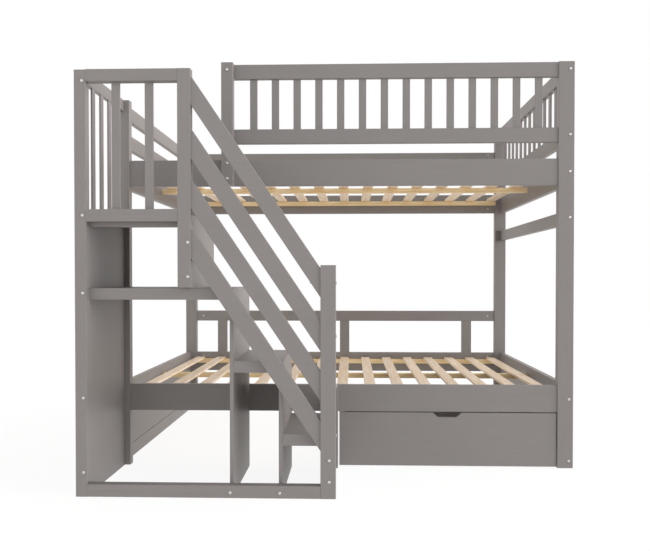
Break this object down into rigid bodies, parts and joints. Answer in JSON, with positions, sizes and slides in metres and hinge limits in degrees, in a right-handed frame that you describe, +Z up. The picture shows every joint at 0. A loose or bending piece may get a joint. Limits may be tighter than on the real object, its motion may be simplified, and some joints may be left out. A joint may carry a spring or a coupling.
{
  "type": "bunk bed with storage stairs",
  "caption": "Wooden bunk bed with slatted bases, guard rails, side stairs with open cubbies and a landing, and an under-bed drawer on wheels.",
  "frame": {"origin": "on the floor, under the middle of the whole footprint (bed and stairs together)", "axes": "+X to the right of someone who faces the stairs, along the bed; +Y from the stairs towards the back of the bed; +Z up"},
  "size_m": [2.028, 1.951, 1.774],
  "materials": {
    "painted_wood": "satin grey paint",
    "pine": "planed, clear lacquer",
    "zinc_steel": "zinc plated",
    "wheel_plastic": "moulded",
    "housing_plastic": "moulded"
  },
  "bodies": {
    "bed": {"back_guard_boards": "painted_wood", "barrel_nuts": "zinc_steel", "beam_leg": "pine", "divider_lower": "painted_wood", "divider_middle": "painted_wood", "divider_upper": "painted_wood", "end_bottom_rails": "painted_wood", "end_panels": "painted_wood", "frame_bolts": "zinc_steel", "front_guard_post": "painted_wood", "front_guard_rails": "painted_wood", "guard_balusters": "painted_wood", "landing_batten": "painted_wood", "landing_board": "painted_wood", "left_guard_boards": "painted_wood", "low_guard_rail": "painted_wood", "low_guard_stubs": "painted_wood", "lower_end_rails": "painted_wood", "lower_side_rail_back": "painted_wood", "lower_side_rail_front": "painted_wood", "lower_slats": "pine", "mid_rail_right": "painted_wood", "middle_beams": "pine", "newel_post": "painted_wood", "post_back_left": "painted_wood", "post_back_right": "painted_wood", "post_front_left": "painted_wood", "post_front_right": "painted_wood", "right_guard_rails": "painted_wood", "slat_cleats": "pine", "slat_screws": "zinc_steel", "slope_guard_boards": "painted_wood", "stair_bottom_rail": "painted_wood", "stair_end_panel": "painted_wood", "stair_front_balusters": "painted_wood", "stair_landing_rail": "painted_wood", "stair_post_left": "painted_wood", "stair_post_upper": "painted_wood", "stair_rear_leg": "painted_wood", "stair_side_balusters": "painted_wood", "stair_side_panel": "painted_wood", "stair_side_rails": "painted_wood", "stair_top_rail": "painted_wood", "step_lower": "painted_wood", "step_middle": "painted_wood", "step_upper": "painted_wood", "upper_end_rails": "painted_wood", "upper_side_rail_back": "painted_wood", "upper_side_rail_front": "painted_wood", "upper_slats": "pine"},
    "drawer": {"drawer_front": "painted_wood", "drawer_sides": "painted_wood", "drawer_back": "painted_wood", "drawer_bottom": "painted_wood", "wheel_housings": "housing_plastic", "wheel_axles": "zinc_steel"},
    "wheel_front_left": {"drawer_wheel_front_left": "wheel_plastic"},
    "wheel_front_right": {"drawer_wheel_front_right": "wheel_plastic"},
    "wheel_back_left": {"drawer_wheel_back_left": "wheel_plastic"},
    "wheel_back_right": {"drawer_wheel_back_right": "wheel_plastic"}
  },
  "joints": [
    {"name": "drawer_slide", "type": "slide", "parent": "bed", "child": "drawer", "axis": [0, -1, 0], "range_m": [0, 0.6]},
    {"name": "wheel_front_left_spin", "type": "hinge", "parent": "drawer", "child": "wheel_front_left", "pos_m": [0.076, -0.404, 0.0183], "axis": [1, 0, 0], "range_deg": [-10, 1930]},
    {"name": "wheel_front_right_spin", "type": "hinge", "parent": "drawer", "child": "wheel_front_right", "pos_m": [0.853, -0.404, 0.0183], "axis": [1, 0, 0], "range_deg": [-10, 1930]},
    {"name": "wheel_back_left_spin", "type": "hinge", "parent": "drawer", "child": "wheel_back_left", "pos_m": [0.076, 0.116, 0.0183], "axis": [1, 0, 0], "range_deg": [-10, 1930]},
    {"name": "wheel_back_right_spin", "type": "hinge", "parent": "drawer", "child": "wheel_back_right", "pos_m": [0.853, 0.116, 0.0183], "axis": [1, 0, 0], "range_deg": [-10, 1930]}
  ],
  "couplings": [
    {"joint": "wheel_front_left_spin", "follows": "drawer_slide", "rad_per_m": 55.556},
    {"joint": "wheel_front_right_spin", "follows": "drawer_slide", "rad_per_m": 55.556},
    {"joint": "wheel_back_left_spin", "follows": "drawer_slide", "rad_per_m": 55.556},
    {"joint": "wheel_back_right_spin", "follows": "drawer_slide", "rad_per_m": 55.556}
  ]
}
